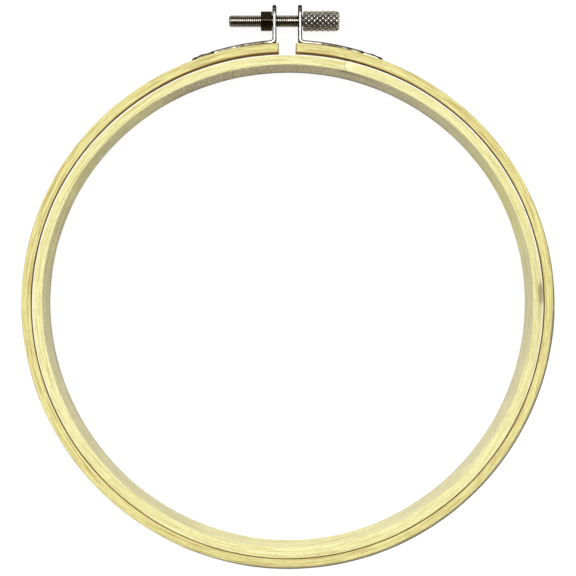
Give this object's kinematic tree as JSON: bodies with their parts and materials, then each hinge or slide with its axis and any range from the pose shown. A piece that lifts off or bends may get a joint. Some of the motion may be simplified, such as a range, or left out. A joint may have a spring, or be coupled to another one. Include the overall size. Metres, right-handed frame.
{
  "type": "embroidery hoop",
  "caption": "Round bamboo embroidery hoop: a plain inner ring inside a split outer ring, closed by a knurled thumb screw through riveted metal brackets.",
  "frame": {"origin": "centre of the base of the whole hoop's bounding box, in the plane of the hoop's back face", "axes": "+Z along the rings' axis, from the back face to the front face; +Y from the hoop's centre towards the clamp; +X towards the knob end of the screw"},
  "size_m": [0.1604, 0.1708, 0.009],
  "materials": {
    "inner_bamboo": "satin",
    "outer_bamboo": "satin",
    "bracket_steel": "nickel plated",
    "rivet_steel": "nickel plated",
    "nut_steel": "nickel plated, dulled",
    "screw_steel": "nickel plated",
    "knob_steel": "nickel plated, knurled"
  },
  "bodies": {
    "outer_hoop": {"outer_ring": "outer_bamboo", "left_bracket": "bracket_steel", "left_foot_rivet": "rivet_steel", "left_tongue_rivet": "rivet_steel", "captive_nut": "nut_steel"},
    "inner_hoop": {"inner_ring": "inner_bamboo"},
    "right_clamp": {"right_bracket": "bracket_steel", "right_foot_rivet": "rivet_steel", "right_tongue_rivet": "rivet_steel"},
    "thumb_screw": {"screw_rod": "screw_steel", "knurled_knob": "knob_steel"}
  },
  "joints": [
    {"name": "inner_ring_lift", "type": "slide", "parent": "outer_hoop", "child": "inner_hoop", "axis": [0, 0, 1], "range_m": [0, 0.02]},
    {"name": "split_opening", "type": "hinge", "parent": "outer_hoop", "child": "right_clamp", "pos_m": [0, -0.08389, 0.0045], "axis": [0, 0, -1], "range_deg": [0, 1.88], "deforming": ["outer_ring"]},
    {"name": "screw_turn", "type": "hinge", "parent": "right_clamp", "child": "thumb_screw", "pos_m": [0, 0.08065, 0.0045], "axis": [1, 0, 0], "range_deg": [0, 3240]}
  ],
  "couplings": [
    {"joint": "screw_turn", "follows": "split_opening", "ratio": 1723.1}
  ]
}
